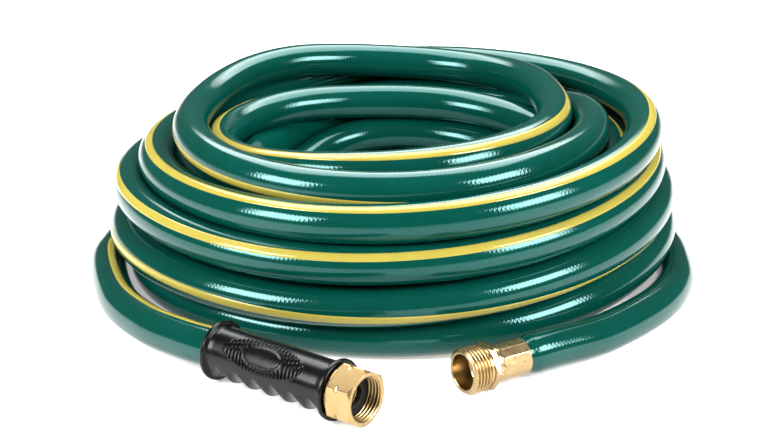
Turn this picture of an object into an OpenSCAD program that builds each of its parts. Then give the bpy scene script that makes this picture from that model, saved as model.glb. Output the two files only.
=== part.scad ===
// Garden hose, coiled for storage, with a brass male coupling at one end and a brass
// swivel coupling with a moulded rubber grip at the other. Millimetres, +Z up.
// The origin is on the floor, under the middle of the whole assembly. The coil's own
// axis stands a little behind it, because both couplings lie in front of the coil.

/* [Hose] */
// Outside diameter of the hose
hose_d = 24; // [20:0.5:24]
// Outside diameter of the reinforcement braid where a coupling clamps the hose
braid_d = 18; // [17.4:0.2:19]
// Outside diameter of the inner liner where a coupling clamps the hose
liner_d = 16.8; // [15.6:0.2:17]

/* [Coil] */
// Radius of the outermost strand's centreline
coil_outer_r = 175; // [168:1:180]
// Radius of the innermost strand's centreline
coil_inner_r = 88; // [80:1:100]
// Height from one layer of strands to the next
layer_pitch = 22.75; // [21:0.25:23.5]

/* [Male coupling] */
// Outside diameter of the 3/4-11.5 NH hose thread
male_thread_d = 26.99; // [26.7:0.01:26.99]
// Length of the threaded spigot
male_thread_l = 12.5; // [10:0.5:16]
// Diameter of the mouth inside the thread
male_mouth_d = 20.8; // [18:0.2:21]
// Depth of the mouth
male_mouth_l = 12; // [8:0.5:14]
// Hexagonal collar, across its flats
male_collar_flats = 25; // [24:0.5:25]
// Thickness of the collar
male_collar_l = 4; // [3:0.5:6]
// Outside diameter of the crimped ferrule
male_ferrule_d = 22.4; // [22:0.1:23.6]

/* [Swivel nut] */
// Nut, across its flats
nut_flats = 30; // [29:0.5:30]
// Length of the nut
nut_l = 17; // [15:0.5:19]
// Inside diameter of the crests of the 3/4-11.5 NH hose thread
nut_thread_d = 24.4; // [24.3:0.05:24.8]
// Depth of the thread, up to the washer's groove
nut_thread_l = 9; // [8:0.5:10]
// Diameter of the stem's neck, on which the nut turns
neck_d = 18; // [16:0.5:19]
// Radial running clearance between the neck and the nut's back wall
neck_clearance = 0.05; // [0.02:0.01:0.1]
// Hole through the sealing washer
washer_hole_d = 14; // [12:0.5:16]

/* [Grip] */
// Length of the grip
grip_l = 90.5; // [70:0.5:95]
// Diameter of the grip's body
grip_d = 30; // [28:0.5:32]
// Diameter of the flange at each end of the grip
grip_flange_d = 35; // [35:0.5:38]
// Number of finger hollows along the underside
finger_count = 6; // [3:1:6]

/* [Waterway] */
// Bore of both barbed stems
bore_d = 12; // [10:0.5:12.5]
// Length of each crimped ferrule
ferrule_l = 24; // [20:1:30]

/* [Hidden] */
$fn = 96;

hose_r = hose_d / 2;
// the coil's axis, measured from the middle of the assembly's outline
coil_y = 36;
// the male coupling points to the left and forward
male_face = [41, coil_y - 214, 13.6];
male_turn = 33;
// the swivel coupling points to the right and forward
female_face = [-12.6, coil_y - 257.9, grip_flange_d / 2];
female_turn = 142;

// brass shells and stems
ferrule_wall = 0.8;
shank_d = 13.6;
barb_d = 14.4;
barb_count = 4;
barb_pitch = 5;
shank_shortfall = 2;
lip_l = 1.2;
lead_in = 1;
corner_chamfer = 2.5;
thread_relief_d = 23.8;
thread_relief_l = 1.5;
mouth_cone_l = 3;
male_collar_start = male_thread_l + thread_relief_l;
male_ferrule_start = male_collar_start + male_collar_l;
male_hose_start = male_ferrule_start + lip_l;
male_ferrule_end = male_ferrule_start + ferrule_l;

// along the swivel coupling, from the nut's face back towards the hose
washer_start = nut_thread_l;
washer_l = 3;
washer_groove_d = 26.8;
axial_gap = 0.3;
flange_start = washer_start + washer_l + axial_gap;
flange_l = 1.4;
flange_d = 24;
nut_wall_start = flange_start + flange_l + axial_gap;
shoulder_start = nut_l + axial_gap;
shoulder_l = 1.7;
shoulder_d = 23;
female_ferrule_start = shoulder_start + shoulder_l;
female_hose_start = female_ferrule_start + lip_l;
female_ferrule_end = female_ferrule_start + ferrule_l;
grip_start = nut_l + 1.5;
grip_end = grip_start + grip_l;

// grip details; turns are measured about its axis, from straight down towards the viewer
flange_width = 3;
finger_hollow_r = 9;
finger_hollow_depth = 1.8;
finger_turn = 25;
finger_end_space = 7;
pad_turn = 137;
pad_l = 52;
pad_w = 16;
pad_height = 0.6;

brass = [0.83, 0.66, 0.32];
green = [0.02, 0.42, 0.35];
black_rubber = [0.06, 0.06, 0.07];
yarn_white = [0.9, 0.9, 0.86];

// Local +Z runs from each coupling's open face back towards the hose.
module on_male() {
    translate(male_face) rotate([0, 0, male_turn]) rotate([0, 90, 0]) children();
}
module on_female() {
    translate(female_face) rotate([0, 0, female_turn]) rotate([0, 90, 0]) children();
}

// A round tube from z0 to z1.
module tube(z0, z1, outer_d, inner_d) {
    translate([0, 0, z0]) difference() {
        cylinder(d = outer_d, h = z1 - z0);
        translate([0, 0, -1]) cylinder(d = inner_d, h = z1 - z0 + 2);
    }
}

// A solid shank with saw-tooth barbs, whose sharp edges hold the hose. It starts inside
// the piece in front of it, at root, so that the two are one solid.
module barbed_shank(root, z0, z1) {
    translate([0, 0, root]) cylinder(d = shank_d, h = z1 - root);
    for (i = [0 : barb_count - 1])
        translate([0, 0, z0 + i * barb_pitch])
            cylinder(d1 = barb_d, d2 = shank_d, h = barb_pitch - 1);
}

// A hexagonal prism with its corners turned down on both faces.
module chamfered_hexagon(flats, height) {
    face_d = flats + 1.4;
    intersection() {
        cylinder(d = flats / cos(30), h = height, $fn = 6);
        union() {
            cylinder(d1 = face_d, d2 = face_d + 2 * corner_chamfer, h = corner_chamfer);
            translate([0, 0, corner_chamfer])
                cylinder(d = face_d + 2 * corner_chamfer, h = height - 2 * corner_chamfer);
            translate([0, 0, height - corner_chamfer])
                cylinder(d1 = face_d + 2 * corner_chamfer, d2 = face_d, h = corner_chamfer);
        }
    }
}

// --- swept hose leads -----------------------------------------------------------------
TUBE_SIDES = 12;

function unit(v) = v / norm(v);
// direction of travel at point i, straight out of the coupling at the first point
function heading(path, i) =
    i == 0 ? unit(path[1] - path[0])
    : i == len(path) - 1 ? unit(path[i] - path[i - 1])
    : unit(unit(path[i + 1] - path[i]) + unit(path[i] - path[i - 1]));
function ring(path, i) =
    let (along = heading(path, i), side = unit(cross([0, 0, 1], along)), up = cross(along, side))
    [for (k = [0 : TUBE_SIDES - 1])
        let (a = 360 * k / TUBE_SIDES)
        path[i] + hose_r * (cos(a) * side + sin(a) * up)];
function tube_points(path) = [for (i = [0 : len(path) - 1]) for (p = ring(path, i)) p];
function tube_sides(count) =
    [for (i = [0 : count - 2]) for (k = [0 : TUBE_SIDES - 1])
        let (next = (k + 1) % TUBE_SIDES, a = i * TUBE_SIDES, b = a + TUBE_SIDES)
        [a + k, b + k, b + next, a + next]];
function tube_ends(count) = [
    [for (k = [0 : TUBE_SIDES - 1]) k],
    [for (k = [TUBE_SIDES - 1 : -1 : 0]) (count - 1) * TUBE_SIDES + k],
];
module swept_hose(path) {
    polyhedron(
        points = tube_points(path),
        faces = concat(tube_sides(len(path)), tube_ends(len(path))),
        convexity = 6);
}

function turned(angle) = [cos(angle), sin(angle), 0];
male_exit = male_face + male_ferrule_end * turned(male_turn);
female_exit = female_face + female_ferrule_end * turned(female_turn);

// The stretch from the male coupling, round the right side and into the coil.
// Places are measured from the coil's axis on the floor.
MALE_ROUTE = [
    [130, -153, 12],
    [165, -112, 12],
    [183, -74, 12],
    [188.5, -38, 12],
    [191.5, 0, 12],
    [190, 40, 12],
    [173, 84, 12],
    [142, 124, 12],
    [104, 146, 12],
];
// The stretch from the grip, round the left side, up over the other one behind the coil.
FEMALE_ROUTE = [
    [-120, -172, 15.5],
    [-147, -142, 13],
    [-171, -100, 12],
    [-187, -38, 12],
    [-191.5, 0, 12],
    [-190, 40, 12],
    [-176, 86, 13],
    [-148, 126, 17],
    [-110, 158, 24],
    [-62, 180, 31],
    [-8, 185, 34],
    [42, 168, 34],
];
male_path = concat(
    [male_exit, male_exit + hose_d * turned(male_turn)],
    [for (p = MALE_ROUTE) p + [0, coil_y, 0]]);
female_path = concat(
    [female_exit, female_face + grip_end * turned(female_turn)],
    [for (p = FEMALE_ROUTE) p + [0, coil_y, 0]]);

// --- nodes ----------------------------------------------------------------------------

// The wound turns as one closed ring, one layer of side-by-side strands on another.
// Each layer is [inset of its innermost strand, inset of its outermost strand].
LAYERS = [[0, 7], [0, 0], [2, 0], [4, 5], [30, 15]];
module hose_coil() {
    color(green) translate([0, coil_y, 0]) rotate_extrude($fn = 128) coil_section();
}
module coil_section() {
    for (i = [0 : len(LAYERS) - 1])
        translate([0, hose_r + i * layer_pitch])
            strand_row(coil_inner_r + LAYERS[i][0], coil_outer_r - LAYERS[i][1]);
}
module strand_row(inner, outer) {
    translate([inner, 0]) circle(d = hose_d);
    translate([outer, 0]) circle(d = hose_d);
    translate([inner, -hose_r]) square([outer - inner, hose_d]);
}

module male_lead() {
    color(green) swept_hose(male_path);
}
module female_lead() {
    color(green) swept_hose(female_path);
}

// Threaded mouth, hexagonal collar and barbed shank, turned from one piece of brass.
module male_nipple() {
    color(brass) on_male() difference() {
        union() {
            cylinder(d1 = male_thread_d - 2 * lead_in, d2 = male_thread_d, h = lead_in);
            translate([0, 0, lead_in]) cylinder(d = male_thread_d, h = male_thread_l - lead_in);
            cylinder(d = thread_relief_d, h = male_collar_start + 1);
            translate([0, 0, male_collar_start]) rotate([0, 0, 30])
                cylinder(d = male_collar_flats / cos(30), h = male_collar_l, $fn = 6);
            barbed_shank(male_collar_start, male_hose_start + 1, male_ferrule_end - shank_shortfall);
        }
        translate([0, 0, -1]) cylinder(d = male_mouth_d, h = male_mouth_l + 1);
        translate([0, 0, male_mouth_l]) cylinder(d1 = male_mouth_d, d2 = bore_d, h = mouth_cone_l);
        translate([0, 0, male_mouth_l]) cylinder(d = bore_d, h = male_ferrule_end);
    }
}

module male_ferrule() {
    color(brass) on_male() ferrule(male_ferrule_start, male_ferrule_end, male_ferrule_d);
}
// A shell closed at its front by a lip that grips the shank.
module ferrule(z0, z1, outer_d) {
    tube(z0, z0 + lip_l, outer_d, shank_d);
    tube(z0 + lip_l, z1, outer_d, outer_d - 2 * ferrule_wall);
}

module male_end_liner() {
    color(black_rubber) on_male() tube(male_hose_start, male_ferrule_end, liner_d, shank_d);
}
module male_end_braid() {
    color(yarn_white) on_male() tube(male_hose_start, male_ferrule_end, braid_d, liner_d);
}
module male_end_cover() {
    color(green) on_male()
        tube(male_hose_start, male_ferrule_end, male_ferrule_d - 2 * ferrule_wall, braid_d);
}

// Sealing flange, turning neck, shoulder and barbed shank of the swivel coupling.
module female_stem() {
    color(brass) on_female() difference() {
        union() {
            translate([0, 0, flange_start]) cylinder(d = flange_d, h = flange_l);
            translate([0, 0, flange_start]) cylinder(d = neck_d, h = shoulder_start + 1 - flange_start);
            translate([0, 0, shoulder_start]) cylinder(d = shoulder_d, h = shoulder_l);
            barbed_shank(shoulder_start, female_hose_start + 1, female_ferrule_end - shank_shortfall);
        }
        cylinder(d = bore_d, h = female_ferrule_end);
    }
}

module female_ferrule() {
    color(brass) on_female() ferrule(female_ferrule_start, female_ferrule_end, hose_d);
}
module female_end_liner() {
    color(black_rubber) on_female() tube(female_hose_start, female_ferrule_end, liner_d, shank_d);
}
module female_end_braid() {
    color(yarn_white) on_female() tube(female_hose_start, female_ferrule_end, braid_d, liner_d);
}
module female_end_cover() {
    color(green) on_female()
        tube(female_hose_start, female_ferrule_end, hose_d - 2 * ferrule_wall, braid_d);
}

// Rubber sleeve over the ferrule and the first of the hose, with a flange at each end,
// finger hollows underneath and a raised oval pad on the side that faces forward and up.
module grip() {
    color(black_rubber) on_female() difference() {
        union() {
            translate([0, 0, grip_start]) cylinder(d = grip_d, h = grip_l);
            translate([0, 0, grip_start]) cylinder(d = grip_flange_d, h = flange_width);
            translate([0, 0, grip_end - flange_width]) cylinder(d = grip_flange_d, h = flange_width);
            raised_pad();
        }
        finger_hollows();
        translate([0, 0, grip_start - 1]) cylinder(d = hose_d, h = grip_l + 2);
    }
}
module raised_pad() {
    end_offset = (pad_l - pad_w) / 2;
    rotate([0, 0, pad_turn]) translate([0, 0, grip_start + grip_l / 2]) intersection() {
        rotate([0, 90, 0]) linear_extrude(height = grip_d) union() {
            square([2 * end_offset, pad_w], center = true);
            translate([end_offset, 0]) circle(d = pad_w);
            translate([-end_offset, 0]) circle(d = pad_w);
        }
        translate([0, 0, -pad_l / 2]) cylinder(d = grip_d + 2 * pad_height, h = pad_l);
    }
}
module finger_hollows() {
    first = grip_start + flange_width + finger_end_space;
    pitch = (grip_l - 2 * (flange_width + finger_end_space)) / (finger_count - 1);
    rotate([0, 0, finger_turn]) for (i = [0 : finger_count - 1])
        translate([grip_d / 2 + finger_hollow_r - finger_hollow_depth, 0, first + i * pitch])
            rotate([90, 0, 0]) cylinder(r = finger_hollow_r, h = grip_d, center = true, $fn = 48);
}

// Hexagonal nut that turns on the stem's neck and pulls the coupling onto a tap.
module swivel_nut() {
    color(brass) on_female() difference() {
        chamfered_hexagon(nut_flats, nut_l);
        cylinder(d1 = nut_thread_d + 2 * lead_in, d2 = nut_thread_d, h = lead_in);
        translate([0, 0, -1]) cylinder(d = nut_thread_d, h = nut_thread_l + 2);
        translate([0, 0, washer_start]) cylinder(d = washer_groove_d, h = nut_wall_start - washer_start);
        cylinder(d = neck_d + 2 * neck_clearance, h = nut_l + 1);
    }
}

module hose_washer() {
    color(black_rubber) on_female()
        tube(washer_start, washer_start + washer_l, washer_groove_d, washer_hole_d);
}

hose_coil();
male_lead();
female_lead();
male_nipple();
male_ferrule();
male_end_liner();
male_end_braid();
male_end_cover();
female_stem();
female_ferrule();
female_end_liner();
female_end_braid();
female_end_cover();
grip();
swivel_nut();
hose_washer();
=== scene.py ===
"""A coiled garden hose with a male brass coupling and a swivel coupling with a rubber grip."""

import math

import bpy
import numpy as np
from mathutils import Matrix, Vector


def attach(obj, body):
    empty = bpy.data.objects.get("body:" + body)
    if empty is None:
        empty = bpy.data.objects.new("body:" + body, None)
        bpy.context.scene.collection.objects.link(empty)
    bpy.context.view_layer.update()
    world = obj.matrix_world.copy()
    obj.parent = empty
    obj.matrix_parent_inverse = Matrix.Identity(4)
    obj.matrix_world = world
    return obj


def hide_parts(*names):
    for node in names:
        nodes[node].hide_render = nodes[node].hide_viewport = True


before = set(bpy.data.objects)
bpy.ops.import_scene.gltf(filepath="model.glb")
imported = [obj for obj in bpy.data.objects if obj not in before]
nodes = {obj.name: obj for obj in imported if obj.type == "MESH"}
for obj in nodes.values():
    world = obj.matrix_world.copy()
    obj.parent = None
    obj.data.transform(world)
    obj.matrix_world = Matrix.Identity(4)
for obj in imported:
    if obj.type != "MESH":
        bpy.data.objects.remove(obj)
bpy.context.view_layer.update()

MM = 0.001
scene = bpy.context.scene

# Dimensions that part.scad has too, in millimetres. The coil's axis stands behind the origin.
COIL = np.array([0.0, 36.0, 0.0])
HOSE_R = 12.0
MALE_FACE = np.array([41.0, -214.0, 13.6]) + COIL
MALE_TURN = 33.0
FEMALE_FACE = np.array([-12.6, -257.9, 17.5]) + COIL
FEMALE_TURN = 142.0
GRIP_START = 18.5
GRIP_END = 109.0


def heading(turn):
    """The level direction at that many degrees from X towards Y."""
    return np.array([math.cos(math.radians(turn)), math.sin(math.radians(turn)), 0.0])


# --- camera -------------------------------------------------------------------------------

CAMERA_TILT = 19.5
CAMERA_DISTANCE = 1.163
TARGET = Vector((0.0, 0.036, 0.030))

camera_data = bpy.data.cameras.new("camera")
camera_data.lens = 78.7
camera_data.sensor_width = 36.0
camera_data.clip_start = 0.01
camera_data.clip_end = 60.0
camera = bpy.data.objects.new("camera", camera_data)
scene.collection.objects.link(camera)
tilt = math.radians(CAMERA_TILT)
camera.location = TARGET + CAMERA_DISTANCE * Vector((0.0, -math.cos(tilt), math.sin(tilt)))
camera.rotation_euler = (math.radians(90.0 - CAMERA_TILT), 0.0, 0.0)
scene.camera = camera


# --- the hose's route ---------------------------------------------------------------------
# The turns run anticlockwise, seen from above, from the male coupling to the swivel one.
# Each row is one turn: (distance of the hose's middle from the coil's axis, its height) in
# millimetres at the front, the right, the back and the left. The male lead takes the place of
# the first row's front, which isn't used.

TURNS = [
    [(200, 12), (188, 12), (170, 13), (177, 34)],
    [(168, 35), (179, 57), (180, 60), (173, 64)],
    [(171, 62), (170, 80), (166, 80), (150, 79)],
    [(167, 86), (168, 102), (159, 93), (134, 78)],
    [(139, 75), (149, 84), (150, 77), (114, 61)],
    [(112, 81), (118, 82), (94, 87), (117, 86)],
    [(124, 105), (109, 107), (146, 103), (129, 102)],
    [(147, 97), (133, 101), (122, 76), (90, 68)],
    [(93, 58), (104, 61), (98, 67), (93, 47)],
    [(117, 57), (128, 59), (124, 57), (138, 54)],
    [(141, 54), (152, 58), (149, 58), (150, 33)],
    [(144, 32), (152, 34), (143, 35), (125, 32)],
    [(116, 34), (124, 34), (112, 35), (101, 31)],
    [(94, 12), (98, 12), (100, 12), (115, 12)],
    [(116, 12), (122, 12), (124, 12), (139, 12)],
    [(139, 12), (146, 12), (148, 12), (163, 12)],
    [(160, 12), (182, 34), (186, 34), (181, 12)],
]
HIDDEN_ROWS = (7.3, 15.9)  # between these rows of TURNS the hose is mostly hidden
SEEN_HOLD = 0.12  # how firmly the turns that show keep to the plan, and then the hidden ones
HIDDEN_HOLD = 0.02
PUSH = 0.7  # the part of an overlap that one pass takes away
QUARTER = 24  # steps in a quarter turn


def through(points, steps):
    """A smooth line through the points, with that many steps between neighbours."""
    p = np.asarray(points, float)
    first, last = 2 * p[0] - p[1], 2 * p[-1] - p[-2]
    p = np.vstack([first, p, last])
    t = (np.arange(steps) / steps)[:, None]
    out = []
    for a, b, c, d in zip(p[:-3], p[1:-2], p[2:-1], p[3:]):
        out.append(
            0.5
            * (2 * b + (c - a) * t + (2 * a - 5 * b + 4 * c - d) * t**2 + (3 * b - a - 3 * c + d) * t**3)
        )
    return np.vstack(out + [p[-2:-1]])


def soften(values, width):
    """Evens out small kinks along the hose."""
    reach = 3 * width
    weight = np.exp(-0.5 * (np.arange(-reach, reach + 1) / width) ** 2)
    weight /= weight.sum()
    padded = np.pad(values, ((reach, reach), (0, 0)), mode="edge")
    return np.stack([np.convolve(column, weight, "valid") for column in padded.T], 1)


def settle(plan, rounds=500, weight=0.05, bend=0.25):
    """Moves the turns apart in each upright section through the coil's axis, and up off the floor.

    Where two turns cross at a slant they still sink into each other, by 7 mm at the deepest.
    """
    turn = 4 * QUARTER
    count = len(plan)
    rows = math.ceil(count / turn)
    row = (np.arange(count) / QUARTER + 1) / 4
    hidden = (row > HIDDEN_ROWS[0]) & (row < HIDDEN_ROWS[1])
    hold = soften(np.where(hidden, HIDDEN_HOLD, SEEN_HOLD)[:, None], 6)
    line = plan.copy()
    for _ in range(rounds):
        line[:, 1] -= weight * hidden
        line += (plan - line) * hold
        line[1:-1] += ((line[:-2] + line[2:]) / 2 - line[1:-1]) * bend
        for _ in range(3):
            grid = np.full((rows * turn, 2), np.nan)
            grid[:count] = line
            grid = grid.reshape(rows, turn, 2)
            gap = grid[:, None] - grid[None]
            dist = np.sqrt((gap**2).sum(-1))
            over = 2 * HOSE_R - dist
            over = np.nan_to_num(np.where((over > 0) & (dist > 1e-6), over, 0.0))
            push = np.nan_to_num(gap / np.maximum(dist, 1e-6)[..., None]) * over[..., None] / 2
            line = (np.nan_to_num(grid) + PUSH * push.sum(1)).reshape(-1, 2)[:count]
            line[:, 1] = np.maximum(line[:, 1], HOSE_R)
    line = soften(line, 3)
    line[:, 1] = np.maximum(line[:, 1], HOSE_R)
    return line


flat_plan = [place for turn in TURNS for place in turn][1:]
wound = settle(through(flat_plan, QUARTER))
angle = np.radians(90.0 / QUARTER * np.arange(len(wound)))
wound = np.stack([wound[:, 0] * np.cos(angle), wound[:, 0] * np.sin(angle), wound[:, 1]], 1) + COIL

# The stretches from each coupling to the wound turns. Inside its ferrule the hose is straight,
# and then it follows these places, measured from the coil's axis on the floor.
MALE_ROUTE = [(130, -153, 12), (165, -112, 12), (183, -74, 12), (188.5, -38, 12)]
FEMALE_ROUTE = [(-187, -38, 12), (-171, -100, 12), (-147, -142, 13), (-120, -172, 15.5)]
FERRULE_END = {"male": 42.0, "female": 43.0}
HOSE_START = {"male": 19.7, "female": 20.2}
male_axis = heading(MALE_TURN)
female_axis = heading(FEMALE_TURN)
male_lead = [MALE_FACE + back * male_axis for back in (HOSE_START["male"], FERRULE_END["male"], 66.0)]
male_lead += [np.array(p) + COIL for p in MALE_ROUTE]
female_lead = [np.array(p) + COIL for p in FEMALE_ROUTE]
female_lead += [FEMALE_FACE + back * female_axis for back in (GRIP_END, 77.0, 48.0, HOSE_START["female"])]

SKIP = 4  # one settled place in four is kept
SMOOTH = 8  # steps of the route between two of those
coarse_wound = wound[::SKIP]
route = through(np.vstack([male_lead, coarse_wound, female_lead]), SMOOTH)
route[:, 2] = np.maximum(route[:, 2], HOSE_R)
# Where each point of the route is, in quarter turns from the first place in flat_plan. The two
# leads count as its first and its last place.
wound_place = np.arange(len(coarse_wound)) * SKIP / QUARTER
coarse_place = np.pad(wound_place, (len(male_lead), len(female_lead)), mode="edge")
place = np.interp(np.arange(len(route)) / SMOOTH, np.arange(len(coarse_place)), coarse_place)
steps = np.linalg.norm(np.diff(route, axis=0), axis=1)
run = np.concatenate([[0.0], np.cumsum(steps)])

along = np.gradient(route, axis=0)
along /= np.linalg.norm(along, axis=1)[:, None]
outward = np.cross(along, [0.0, 0.0, 1.0])
outward /= np.linalg.norm(outward, axis=1)[:, None]
upward = np.cross(outward, along)


# --- mesh helpers -------------------------------------------------------------------------


def grid_faces(rows, columns, close_rows=False):
    """Faces of a grid that is closed round its columns and, if asked, round its rows."""
    i = np.arange(rows if close_rows else rows - 1)[:, None]
    j = np.arange(columns)[None]
    i2, j2 = (i + 1) % rows, (j + 1) % columns
    corners = [i * columns + j, i * columns + j2, i2 * columns + j2, i2 * columns + j]
    return np.stack(corners, -1).reshape(-1, 4)


def end_caps(rows, columns):
    """One face over each end of a grid that is open along its rows."""
    start = (rows - 1) * columns
    return [list(range(columns)), list(range(start, start + columns))[::-1]]


def make(name, points, faces, material, body="hose", crease=None, coordinates=None):
    """A mesh piece from points in millimetres. coordinates place a pattern at the faces' corners."""
    mesh = bpy.data.meshes.new(name)
    mesh.from_pydata((np.asarray(points) * MM).tolist(), [], [list(f) for f in faces])
    mesh.update()
    if coordinates is not None:
        layer = mesh.uv_layers.new(name="pattern")
        layer.data.foreach_set("uv", np.asarray(coordinates, np.float32).ravel())
    mesh.shade_smooth()
    if crease is not None:
        mesh.set_sharp_from_angle(angle=math.radians(crease))
    mesh.materials.append(material)
    piece = bpy.data.objects.new(name, mesh)
    scene.collection.objects.link(piece)
    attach(piece, body)
    return piece


def at_coupling(face, turn, local):
    """Points whose own Z runs back from a coupling's face, and whose own X points down."""
    back = heading(turn)
    down = np.array([0.0, 0.0, -1.0])
    side = np.cross(back, down)
    return face + local[:, :1] * down + local[:, 1:2] * side + local[:, 2:] * back


def round_angles(sides):
    return 2 * np.pi * np.arange(sides) / sides


def turned(name, face, turn, rows, sides, material, body="hose", crease=40.0):
    """A piece turned about a coupling's axis. Each row is (distance back, radius round the axis)."""
    round_angle = round_angles(sides)
    z = np.array([np.broadcast_to(row[0], sides) for row in rows], float)
    r = np.array([np.broadcast_to(row[1], sides) for row in rows], float)
    local = np.stack([r * np.cos(round_angle), r * np.sin(round_angle), z], -1).reshape(-1, 3)
    faces = grid_faces(len(rows), sides, close_rows=True)
    return make(name, at_coupling(face, turn, local), faces[:, ::-1], material, body, crease)


def least(*radii, sharpness=200.0):
    """The smallest of several radii, with a slightly rounded edge where two of them meet."""
    low = np.minimum.reduce(np.broadcast_arrays(*radii))
    total = sum((np.asarray(r) / low) ** -sharpness for r in radii)
    return low * total ** (-1.0 / sharpness)


def hexagon(sides, flats, first_corner):
    """Radius of a hexagon at each angle round it."""
    a = round_angles(sides)
    faces = [math.radians(first_corner + 30.0 + 60.0 * k) for k in range(6)]
    reach = [np.where(np.cos(a - f) > 0.3, flats / 2 / np.maximum(np.cos(a - f), 0.3), 99.0) for f in faces]
    return least(*reach, sharpness=150.0)


# The couplings' 3/4-11.5 NH thread, and their barbed shanks.
PITCH = 25.4 / 11.5
MALE_CREST_R = 13.495
MALE_ROOT_R = 12.06
FEMALE_CREST_R = 12.2
FEMALE_ROOT_R = 13.5
SHANK_R = 6.8
BARB_R = 7.2
WATERWAY_R = 6.0
COLLAR_FLATS = 25.0
NUT_FLATS = 30.0


def thread(z, sides, root, crest):
    """Radius of a right-hand thread at distance z, at each angle round it."""
    t = np.mod(z / PITCH - round_angles(sides) / (2 * np.pi), 1.0)
    tooth = np.abs(2 * t - 1)
    slope = np.clip((tooth - 0.14) / 0.72, 0.0, 1.0)
    return root + (crest - root) * (0.35 * ease(slope, 0.0, 1.0) + 0.65 * slope)


def ease(x, low, high):
    t = np.clip((np.asarray(x, float) - low) / (high - low), 0.0, 1.0)
    return t * t * (3 - 2 * t)


# --- materials ----------------------------------------------------------------------------


class Shader:
    """A few short names for building a node material."""

    MIDDLE = (0.3, 0.7)  # most of what a noise node gives lies between these

    def __init__(self, name):
        self.material = bpy.data.materials.new(name)
        self.material.use_nodes = True
        self.tree = self.material.node_tree
        self.base = self.tree.nodes["Principled BSDF"]

    def node(self, kind, **settings):
        made = self.tree.nodes.new(kind)
        for key, value in settings.items():
            if key in made.inputs:
                made.inputs[key].default_value = value
            else:
                setattr(made, key, value)
        return made

    def link(self, out, into):
        self.tree.links.new(out, into)

    def place(self):
        return self.node("ShaderNodeTexCoord").outputs["Object"]

    def noise(self, scale, detail=3.0):
        made = self.node("ShaderNodeTexNoise", Scale=scale, Detail=detail)
        self.link(self.place(), made.inputs["Vector"])
        return made.outputs["Fac"]

    def math(self, operation, a, b=None):
        made = self.node("ShaderNodeMath", operation=operation)
        for socket, value in zip(made.inputs, (a, b)):
            if value is None:
                continue
            if isinstance(value, (int, float)):
                socket.default_value = value
            else:
                self.link(value, socket)
        return made.outputs[0]

    def roughness(self, noise, low, high):
        """The roughness goes from low to high over the middle of the noise's range."""
        made = self.node("ShaderNodeMapRange")
        made.inputs["From Min"].default_value = self.MIDDLE[0]
        made.inputs["From Max"].default_value = self.MIDDLE[1]
        made.inputs["To Min"].default_value = low
        made.inputs["To Max"].default_value = high
        self.link(noise, made.inputs["Value"])
        self.link(made.outputs["Result"], self.base.inputs["Roughness"])

    def colour(self, noise, low, high):
        """The base colour goes from low to high over the middle of the noise's range."""
        made = self.node("ShaderNodeValToRGB")
        for element, where, shade in zip(made.color_ramp.elements, self.MIDDLE, (low, high)):
            element.position = where
            element.color = (*shade, 1.0)
        self.link(noise, made.inputs["Fac"])
        self.link(made.outputs["Color"], self.base.inputs["Base Color"])

    def bump(self, height, strength, distance, after=None):
        made = self.node("ShaderNodeBump", Strength=strength, Distance=distance)
        self.link(height, made.inputs["Height"])
        if after is not None:
            self.link(after, made.inputs["Normal"])
        return made.outputs["Normal"]

    def set(self, **values):
        for key, value in values.items():
            self.base.inputs[key.replace("_", " ")].default_value = value


KNIT_COUNT = 14  # diamonds round the hose
KNIT_PITCH = 2.5  # millimetres along it


def knit_height(s):
    """The reinforcing yarn's diamond pattern, pressed faintly through the cover."""
    pattern = s.node("ShaderNodeUVMap", uv_map="pattern")
    split = s.node("ShaderNodeSeparateXYZ")
    s.link(pattern.outputs["UV"], split.inputs["Vector"])
    around = s.math("MULTIPLY", split.outputs["X"], 2 * math.pi * KNIT_COUNT)
    length = s.math("MULTIPLY", split.outputs["Y"], 2 * math.pi / KNIT_PITCH)
    one = s.math("SINE", s.math("ADD", length, around))
    other = s.math("SINE", s.math("SUBTRACT", length, around))
    return s.math("MAXIMUM", one, other)


def vinyl(name, colours, tint, knit_strength):
    s = Shader(name)
    s.colour(s.noise(28.0), *colours)
    s.roughness(s.noise(160.0, 4.0), 0.08, 0.14)
    s.set(Specular_Tint=(*tint, 1.0), IOR=1.45)
    fine = s.bump(s.noise(420.0, 2.0), 0.05, 0.0003)
    s.link(s.bump(knit_height(s), knit_strength, 0.0001, fine), s.base.inputs["Normal"])
    return s.material


green = vinyl("green_vinyl", [(0.0004, 0.036, 0.026), (0.0006, 0.042, 0.031)], (0.52, 1.0, 1.0), 0.16)
yellow = vinyl("yellow_vinyl", [(0.29, 0.238, 0.036), (0.33, 0.272, 0.050)], (0.9, 1.0, 0.9), 0.1)


def brass_material(name, colours, rough):
    s = Shader(name)
    s.set(Metallic=1.0)
    s.colour(s.noise(90.0, 4.0), *colours)
    s.roughness(s.noise(300.0), *rough)
    s.link(s.bump(s.noise(900.0, 4.0), 0.02, 0.0002), s.base.inputs["Normal"])
    return s.material


satin_brass = brass_material("satin_brass", [(0.35, 0.238, 0.105), (0.42, 0.295, 0.135)], (0.30, 0.38))
pale_brass = brass_material("pale_brass", [(0.36, 0.255, 0.125), (0.42, 0.305, 0.155)], (0.26, 0.34))
bright_brass = brass_material("bright_brass", [(0.52, 0.33, 0.12), (0.60, 0.39, 0.15)], (0.18, 0.28))


def rubber_material(name, colours, rough, grain):
    s = Shader(name)
    s.colour(s.noise(60.0, 4.0), *colours)
    s.roughness(s.noise(220.0), *rough)
    s.link(s.bump(s.noise(900.0), grain, 0.0003), s.base.inputs["Normal"])
    s.set(Specular_IOR_Level=0.2)
    return s.material


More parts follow.
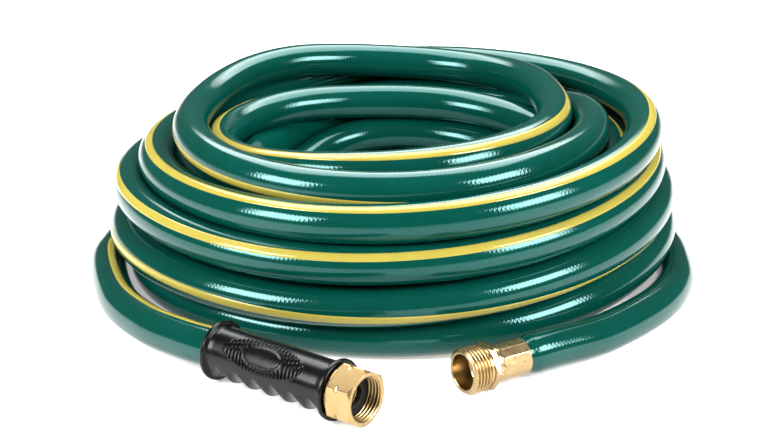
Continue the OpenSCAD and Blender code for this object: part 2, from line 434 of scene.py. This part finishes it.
grip_rubber = rubber_material(
    "grip_rubber", [(0.0016, 0.0016, 0.0020), (0.0028, 0.0028, 0.0034)], (0.20, 0.27), 0.06
)
washer_rubber = rubber_material(
    "washer_rubber", [(0.008, 0.008, 0.008), (0.014, 0.014, 0.014)], (0.45, 0.6), 0.2
)
liner_rubber = rubber_material("liner_rubber", [(0.02, 0.02, 0.02), (0.03, 0.03, 0.03)], (0.3, 0.4), 0.1)


def yarn_material():
    s = Shader("braid_yarn")
    s.colour(s.noise(500.0), (0.60, 0.60, 0.55), (0.78, 0.78, 0.73))
    wave = s.node("ShaderNodeTexWave", Scale=420.0, Distortion=1.5)
    s.link(s.place(), wave.inputs["Vector"])
    s.link(s.bump(wave.outputs["Fac"], 0.5, 0.0003), s.base.inputs["Normal"])
    s.set(Roughness=0.8)
    return s.material


braid_yarn = yarn_material()


# --- the hose -----------------------------------------------------------------------------

SIDES = 24
MALE_CRIMP_R = 10.25  # the hose's radius inside each ferrule
FEMALE_CRIMP_R = 11.18
WALL_INNER_R = 9.02  # how far in each end turns


def hose_radius():
    """Held narrower inside each ferrule, and swelling again just outside it."""
    from_male = run - (FERRULE_END["male"] - HOSE_START["male"])
    from_female = (run[-1] - run) - (FERRULE_END["female"] - HOSE_START["female"])
    male = MALE_CRIMP_R + (HOSE_R - MALE_CRIMP_R) * ease(from_male, -0.5, 8.0)
    female = FEMALE_CRIMP_R + (HOSE_R - FEMALE_CRIMP_R) * ease(from_female, -0.5, 4.0)
    return np.minimum(male, female)


radius = hose_radius()


def ring_points(index, angles, r):
    """Points round the route at those places, each angle counted up from the hose's outer side."""
    angles, r = np.broadcast_arrays(angles, r)
    return (
        route[index][..., None, :]
        + (r * np.cos(angles))[..., None] * outward[index][..., None, :]
        + (r * np.sin(angles))[..., None] * upward[index][..., None, :]
    )


def tube(name, rings, across, lengths, material):
    """A closed tube through the rings. across is the pattern's place round it at each face's corners."""
    rows, columns = rings.shape[:2]
    i = np.repeat(np.arange(rows - 1), columns)
    length_there = np.stack([lengths[i], lengths[i], lengths[i + 1], lengths[i + 1]], 1)
    corners = np.stack([across, length_there], -1).reshape(-1, 2)
    corners = np.vstack([corners, np.zeros((2 * columns, 2))])
    faces = [*grid_faces(rows, columns), *end_caps(rows, columns)]
    return make(name, rings.reshape(-1, 3), faces, material, coordinates=corners)


def make_hose():
    a = round_angles(SIDES)
    outer = ring_points(np.arange(len(route)), a[None], radius[:, None])
    # both ends turn in over the wall and are closed a little way inside
    first = [ring_points(k, a, WALL_INNER_R) for k in (2, 0)]
    last = [ring_points(k, a, WALL_INNER_R) for k in (len(route) - 1, len(route) - 3)]
    rings = np.concatenate([np.array(first), outer, np.array(last)])
    lengths = np.concatenate([[run[2], run[0]], run, [run[-1], run[-3]]])
    j = np.tile(np.arange(SIDES), len(rings) - 1)
    across = np.stack([j, j + 1, j + 1, j], 1) / SIDES
    return tube("hose", rings, across, lengths, green)


# The stripe's angle above the hose's outer side, in degrees, at the same places as TURNS.
STRIPE = [
    [-120, -110, -60, 5],
    [-22, -55, -12, 36],
    [43, 57, 49, 66],
    [64, 62, 26, -40],
    [-30, 52, 60, 50],
    [20, 30, 5, 70],
    [60, 38, 5, -8],
    [-26, -75, -80, -80],
    [-75, -80, -85, -80],
    [-75, -70, -75, -80],
    [-85, -80, -75, -70],
    [-75, -80, -85, -90],
    [-85, -80, -75, -70],
    [-70, -75, -80, -80],
    [-75, -70, -75, -80],
    [-80, -75, -75, -80],
    [-95, -68, 25, 103],
]
STRIPE_WIDTH = 5.8


def make_stripe():
    table = np.array([a for turn in STRIPE for a in turn][1:], float)[:, None]
    smooth = through(table, QUARTER)[:, 0]
    middle = np.radians(np.interp(place, np.arange(len(smooth)) / QUARTER, smooth))
    across = np.array([-0.5, -0.46, -0.2, 0.2, 0.46, 0.5]) * STRIPE_WIDTH / HOSE_R
    proud = np.array([-0.3, 0.05, 0.08, 0.08, 0.05, -0.3])
    # six points over the top and two below the cover close the strip
    across = np.concatenate([across, [0.3 * STRIPE_WIDTH / HOSE_R, -0.3 * STRIPE_WIDTH / HOSE_R]])
    proud = np.concatenate([proud, [-0.6, -0.6]])
    used = np.arange(2, len(route) - 2)
    angles = middle[used][:, None] + across[None]
    rings = ring_points(used, angles, radius[used][:, None] + proud[None])
    columns = len(across)
    i = np.repeat(np.arange(len(used) - 1), columns)
    j = np.tile(np.arange(columns), len(used) - 1)
    after = (j + 1) % columns
    part = angles / (2 * np.pi)
    pattern = np.stack([part[i, j], part[i, after], part[i + 1, after], part[i + 1, j]], 1)
    return tube("hose_stripe", rings, pattern, run[used], yellow)


hose = make_hose()
stripe = make_stripe()
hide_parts("hose_coil", "male_lead", "female_lead", "male_end_cover", "female_end_cover")


# --- male coupling ------------------------------------------------------------------------


def barbs(first):
    """Four barbs along a shank, the first of them at that distance back."""
    rows = []
    for start in first + 5.0 * np.arange(4):
        rows += [(start, SHANK_R), (start + 0.02, BARB_R), (start + 4.0, SHANK_R)]
    return rows


def make_nipple():
    sides = 144
    collar = hexagon(sides, COLLAR_FLATS, 30.0)
    rows = [(0.35, 10.4), (0.0, 10.75), (0.0, 11.7)]
    for z in np.arange(0.1, 12.5, 0.1):
        teeth = thread(z, sides, MALE_ROOT_R, MALE_CREST_R)
        rows.append((z, least(teeth, 11.8 + 1.5 * z, 12.0 + 2.0 * max(12.5 - z, 0.0) + 0.02, sharpness=120)))
    rows += [(12.6, 11.95), (12.9, 11.88), (14.2, 11.88), (14.42, 11.95), (14.5, 12.1), (14.5, 12.35)]
    for z in (0.06, 0.25, 0.5, 0.8, 1.1, 1.5, 2.0, 2.5, 2.9, 3.2, 3.5, 3.75, 3.94):
        edge = min(z, 4.0 - z)
        rows.append((14.5 + z, least(collar, 12.55 + 1.7 * edge)))
    rows += [(18.5, 12.45), (18.5, 8.5), (18.5, SHANK_R)]
    rows += barbs(20.7)
    rows += [(40.0, SHANK_R), (40.0, WATERWAY_R), (28.0, WATERWAY_R), (15.0, WATERWAY_R)]
    rows += [(12.2, 9.95), (12.0, 10.2), (11.8, 10.36), (11.4, 10.4), (6.0, 10.4)]
    return turned("male_nipple_threaded", MALE_FACE, MALE_TURN, rows, sides, pale_brass)


FERRULE_FLATS = 12


def make_male_ferrule():
    sides = 192
    # each angle's place across its flat, from -0.5 to 0.5, and how much further out it is there
    across = np.mod(round_angles(sides) / (2 * np.pi) * FERRULE_FLATS + 0.2, 1.0) - 0.5
    flat = 1.0 / np.cos(across * 2 * np.pi / FERRULE_FLATS)
    start = 22.0 + 1.2 * (2 * across) ** 2
    rows = [(18.5, 7.0), (18.5, 9.6), (18.56, 10.0), (18.75, 10.5), (19.1, 10.85), (19.6, 11.07)]
    for z in np.arange(20.2, 41.7, 0.4):
        pressed = (10.62 + 1.2 * (1 - ease(z, start - 1.6, start + 0.4))) * flat
        rows.append((z, least(pressed, 11.2 - 0.1 * ease(19.9 - z, -0.8, 0.8), sharpness=260)))
    rows += [(41.85, 10.85), (42.0, 10.7), (42.0, 10.4), (41.8, 10.3)]
    rows += [(19.75, 10.3), (19.7, 10.2), (19.7, 7.0)]
    return turned("male_ferrule_crimped", MALE_FACE, MALE_TURN, rows, sides, pale_brass)


nipple = make_nipple()
male_ferrule = make_male_ferrule()
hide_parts("male_nipple")
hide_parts("male_ferrule")


# --- swivel coupling ----------------------------------------------------------------------


def make_nut():
    sides = 240
    outline = hexagon(sides, NUT_FLATS, 0.0)
    rows = [(0.5, 12.75), (0.12, 13.15), (0.0, 13.35), (0.0, 15.15)]
    steps = [0.05, 0.2, 0.4, 0.7, 1.0, 1.3, 1.6, 2.0, 2.4, 3.0, 4.0, 5.5, 7.0, 8.0]
    steps += [8.3, 8.6, 8.8, 9.0, 9.3, 10.0, 10.7, 11.0, 11.2, 11.4, 11.7, 12.0]
    steps += [13.0, 14.0, 14.8, 15.4, 15.9, 16.3, 16.6, 16.85]
    for z in steps:
        front = 15.25 + 1.15 * z
        rear = 15.6 + 1.6 * (17.0 - z)
        notch = 16.25 + 2.6 * max(abs(z - 10.0) - 0.9, 0.0)
        rows.append((z, least(outline, front, rear, notch)))
    rows += [(17.0, 15.5), (17.0, 9.4), (16.8, 9.1), (14.2, 9.1), (14.0, 9.4), (14.0, 13.3), (13.9, 13.4)]
    rows += [(9.3, 13.4), (9.15, 13.3)]
    for z in np.arange(9.0, 0.55, -0.1):
        groove = thread(z, sides, FEMALE_ROOT_R, FEMALE_CREST_R)
        fade = ease(z, 8.2, 9.0)
        rows.append((z, groove * (1 - fade) + 12.6 * fade + 0.75 * ease(1.4 - z, 0.0, 1.0)))
    return turned(
        "swivel_nut_threaded", FEMALE_FACE, FEMALE_TURN, rows, sides, satin_brass, body="nut"
    )


def make_washer():
    rows = [(9.25, 7.0), (9.05, 7.3), (9.0, 7.7), (9.0, 9.2)]
    rows += [(9.12, 9.5), (9.12, 9.9), (9.0, 10.2), (9.0, 12.6)]
    rows += [(9.08, 13.0), (9.4, 13.35), (9.8, 13.38), (11.6, 13.38), (12.0, 13.0), (12.0, 7.4), (11.8, 7.0)]
    return turned(
        "hose_washer_moulded", FEMALE_FACE, FEMALE_TURN, rows, 96, washer_rubber, body="nut"
    )


def make_stem():
    rows = [(12.75, WATERWAY_R), (12.45, 6.12), (12.3, 6.4), (12.3, 11.7), (12.6, 12.0), (13.4, 12.0)]
    rows += [(13.7, 11.7), (13.7, 9.0)]
    rows += [(17.3, 9.0), (17.3, 11.2), (17.6, 11.5), (19.0, 11.5), (19.0, SHANK_R)]
    rows += barbs(21.2)
    rows += [(41.0, SHANK_R), (41.0, WATERWAY_R), (26.0, WATERWAY_R)]
    return turned("female_stem_turned", FEMALE_FACE, FEMALE_TURN, rows, 120, bright_brass)


def oval(across, along, half_across, half_along):
    """Below 1 inside an oval, and above 1 outside it."""
    return (across / half_across) ** 2 + (along / half_along) ** 2


def away(angles, middle):
    """How far each angle is from the middle one, in degrees from -180 to 180."""
    return np.mod(angles - middle + 180.0, 360.0) - 180.0


GRIP_R = 15.0
GRIP_BORE_R = 12.06
HOLLOW_PITCH = 13.8
HOLLOW_DEPTH = 3.0
HOLLOW_TURN = 27.0
EMBLEM_TURN = 133.0
RIB_PITCH = 2.6
RIB_HEIGHT = 1.05
PLATE_HEIGHT = 0.5


def finger_hollows(z, middle, off_hollows):
    """How deep the grip is pressed in, from 0 to 1: six shallow dishes that meet in ridges."""
    depth = np.zeros(len(off_hollows))
    for centre in middle + HOLLOW_PITCH * (np.arange(6) - 2.5):
        inside = 1.0 - ((z - centre) / (HOLLOW_PITCH / 2)) ** 2 - (off_hollows / 54.0) ** 2
        depth = np.maximum(depth, inside)
    return depth


def emblem(across, offset):
    """Height of a plain oval plate in a ring of short ribs, at distances from its middle."""
    ring = oval(across, offset, 10.6, 29.5)
    plate = oval(across, offset, 6.2, 13.4)
    hole = oval(across, offset, 7.4, 15.0)
    rib = 0.5 + 0.5 * np.cos(2 * np.pi * (offset - 0.12 * across) / RIB_PITCH)
    rib = ease(rib, 0.25, 0.8)
    height = RIB_HEIGHT * rib * ease(1.0 - ring, 0.0, 0.10) * ease(hole - 1.0, 0.0, 0.2)
    return np.maximum(height, PLATE_HEIGHT * ease(1.0 - plate, 0.0, 0.18))


def make_grip():
    sides = 264
    a = np.degrees(round_angles(sides))
    off_hollows = away(a, HOLLOW_TURN)
    # millimetres round the grip from the emblem's middle
    across = away(a, EMBLEM_TURN) / 180.0 * np.pi * GRIP_R
    first, last = GRIP_START, GRIP_END
    middle = (first + last) / 2
    rows = [(first, 12.25), (first, 16.9), (first + 0.08, 17.15), (first + 0.3, 17.4)]
    for z in np.arange(first + 0.6, last - 0.5, 0.36):
        from_end = min(z - first, last - z)
        body = GRIP_R + 2.5 * (1 - ease(from_end, 2.3, 3.6)) + 0.25 * (1 - ease(from_end, 3.0, 7.0))
        body -= 0.35 * (1 - ease(from_end, 0.2, 1.0))
        fullness = 0.55 * np.exp(-((off_hollows / 50.0) ** 2)) * ease(from_end, 3.0, 7.0)
        surface = body + fullness - HOLLOW_DEPTH * finger_hollows(z, middle, off_hollows)
        rows.append((z, surface + emblem(across, z - (middle + 2.0))))
    rows += [(last - 0.3, 17.4), (last - 0.08, 17.15), (last, 16.85), (last, 13.4)]
    rows += [(last - 0.15, 12.9), (last - 0.6, 12.5)]
    rows += [(last - 2.0, GRIP_BORE_R), (middle, GRIP_BORE_R), (first + 0.5, GRIP_BORE_R)]
    return turned(
        "grip_moulded", FEMALE_FACE, FEMALE_TURN, rows, sides, grip_rubber, crease=None
    )


nut = make_nut()
washer = make_washer()
stem = make_stem()
grip = make_grip()
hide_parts("swivel_nut")
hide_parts("hose_washer")
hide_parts("female_stem")
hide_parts("grip")

CAD_LOOKS = {
    "female_ferrule": satin_brass,
    "male_end_liner": liner_rubber,
    "female_end_liner": liner_rubber,
    "male_end_braid": braid_yarn,
    "female_end_braid": braid_yarn,
}
for name, look in CAD_LOOKS.items():
    nodes[name].data.materials.clear()
    nodes[name].data.materials.append(look)


# --- floor and light ----------------------------------------------------------------------


def make_floor():
    size = 6.0
    mesh = bpy.data.meshes.new("floor")
    corners = [(-size, -size, 0), (size, -size, 0), (size, size, 0), (-size, size, 0)]
    mesh.from_pydata(corners, [], [(0, 1, 2, 3)])
    s = Shader("floor")
    s.colour(s.noise(3.0), (0.78, 0.78, 0.78), (0.80, 0.80, 0.80))
    s.set(Roughness=0.6, Emission_Color=(1.0, 1.0, 1.0, 1.0), Emission_Strength=0.42)
    mesh.materials.append(s.material)
    floor = bpy.data.objects.new("floor", mesh)
    floor.location = (0.0, 0.0, -0.0002)
    scene.collection.objects.link(floor)


def panel(name, centre, aim, size, radiance, long_axis=(1.0, 0.0, 0.0)):
    """A rectangular soft light of an even brightness, whose own X runs along long_axis."""
    data = bpy.data.lights.new(name, "AREA")
    data.shape = "RECTANGLE"
    data.size, data.size_y = size
    data.energy = radiance * math.pi * size[0] * size[1]
    light = bpy.data.objects.new(name, data)
    back = (Vector(centre) - Vector(aim)).normalized()
    right = Vector(long_axis)
    right = (right - right.dot(back) * back).normalized()
    up = back.cross(right)
    light.matrix_world = Matrix.Translation(centre) @ Matrix((right, up, back)).transposed().to_4x4()
    light.visible_camera = False
    scene.collection.objects.link(light)


def make_world():
    world = bpy.data.worlds.new("studio")
    scene.world = world
    world.use_nodes = True
    tree = world.node_tree
    background = tree.nodes["Background"]
    coordinates = tree.nodes.new("ShaderNodeTexCoord")
    split = tree.nodes.new("ShaderNodeSeparateXYZ")
    ramp = tree.nodes.new("ShaderNodeValToRGB")
    tree.links.new(coordinates.outputs["Generated"], split.inputs["Vector"])
    tree.links.new(split.outputs["Z"], ramp.inputs["Fac"])
    tree.links.new(ramp.outputs["Color"], background.inputs["Color"])
    stops = ramp.color_ramp.elements
    stops[0].position, stops[0].color = 0.0, (0.10, 0.10, 0.10, 1.0)
    stops[1].position, stops[1].color = 0.9, (0.16, 0.16, 0.16, 1.0)
    background.inputs["Strength"].default_value = 1.0


make_floor()
make_world()
panel("rear_softbox", (0.0, 0.46, 0.80), (0.0, 0.036, 0.05), (0.95, 0.80), 9.5)
for name, side in (("left_softbox", -1.0), ("right_softbox", 1.0)):
    centre = (0.98 * side, -0.66, 0.68)
    aim = (0.07 * side, -0.11, 0.06)
    panel(name, centre, aim, (0.62, 0.55), 28.0, (0.58 * side, 0.81, 0.0))
scene.view_settings.view_transform = "Standard"
